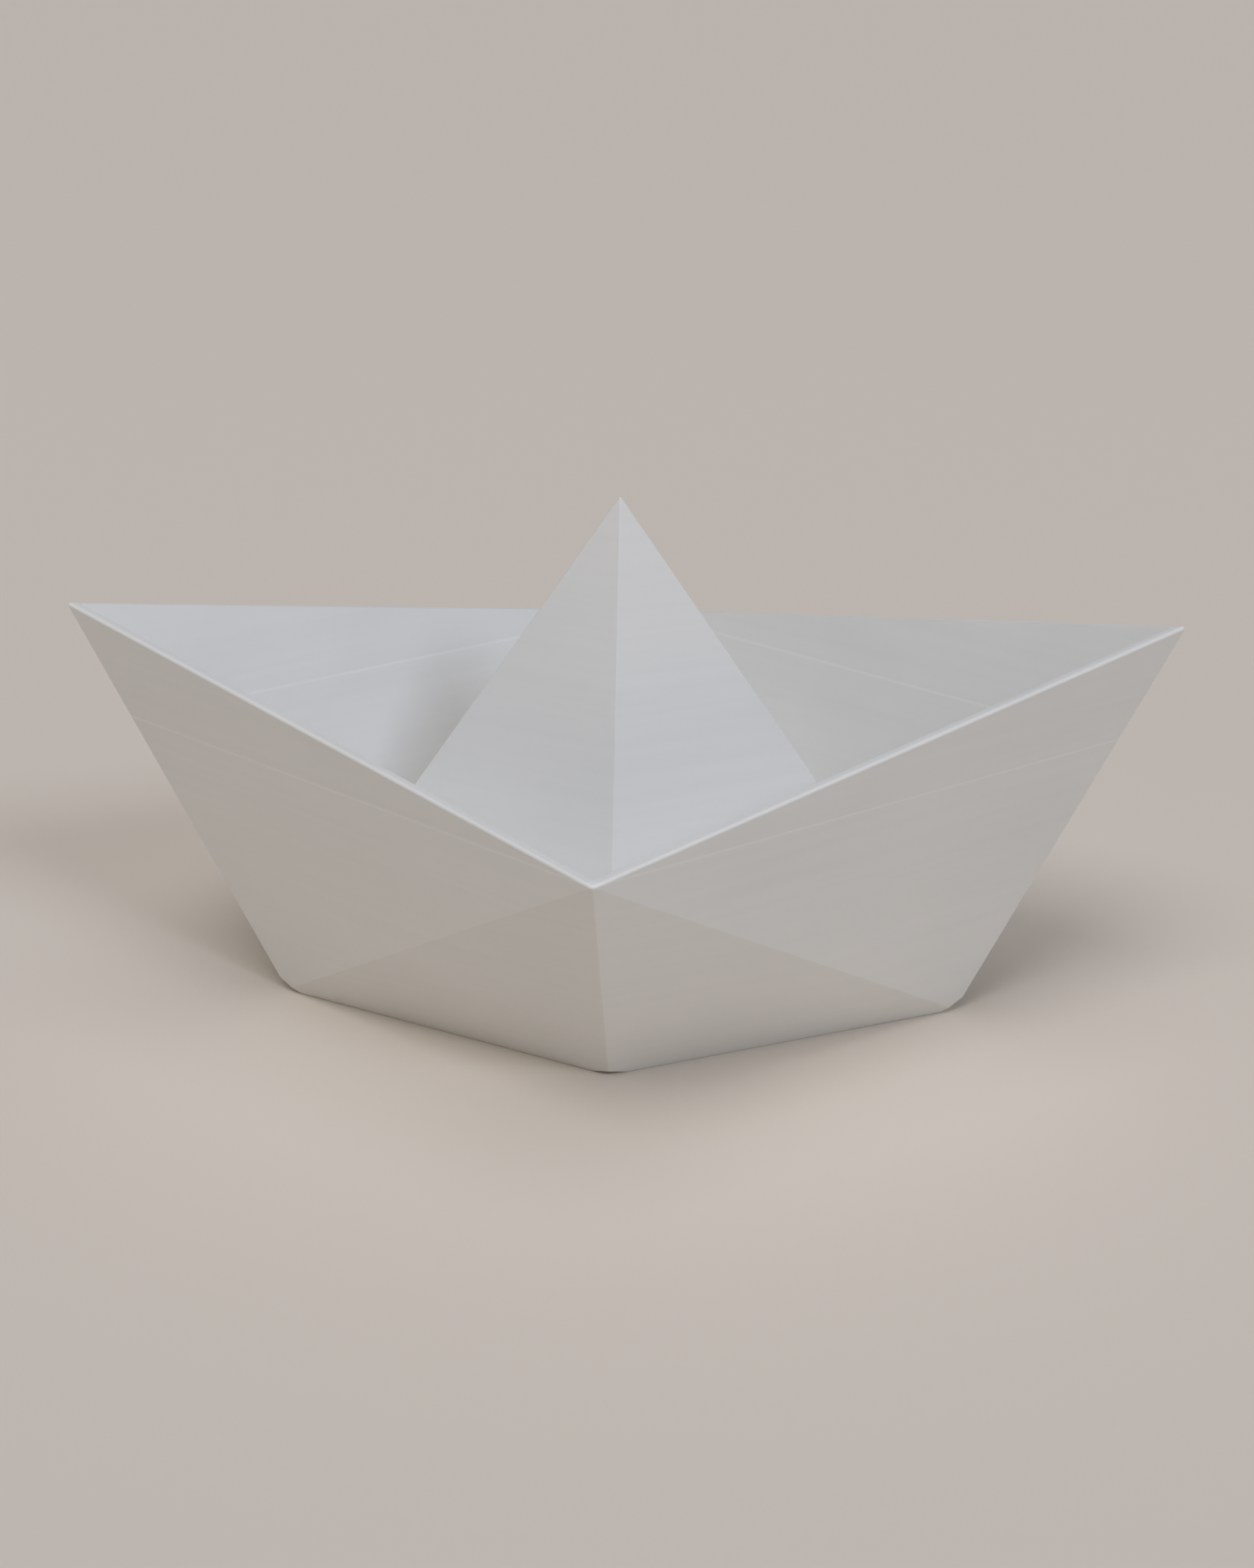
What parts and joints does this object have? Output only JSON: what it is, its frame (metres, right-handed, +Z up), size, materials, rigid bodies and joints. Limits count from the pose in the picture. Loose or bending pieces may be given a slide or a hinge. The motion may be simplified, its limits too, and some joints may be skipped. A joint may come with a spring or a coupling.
{
  "type": "paper boat figurine",
  "caption": "Rigid boat in the form of a folded paper boat: thin faceted hull, pointed bows and a peaked four-sided sail, on a flat base.",
  "frame": {"origin": "centre of the flat base, under the sail's peak", "axes": "+X lengthways from bow tip to bow tip, +Y across the hull, +Z up along the sail"},
  "size_m": [0.1986, 0.1386, 0.0982],
  "materials": {
    "boat": "satin white, as printed"
  },
  "bodies": {
    "root": {"boat": "boat"}
  },
  "joints": []
}
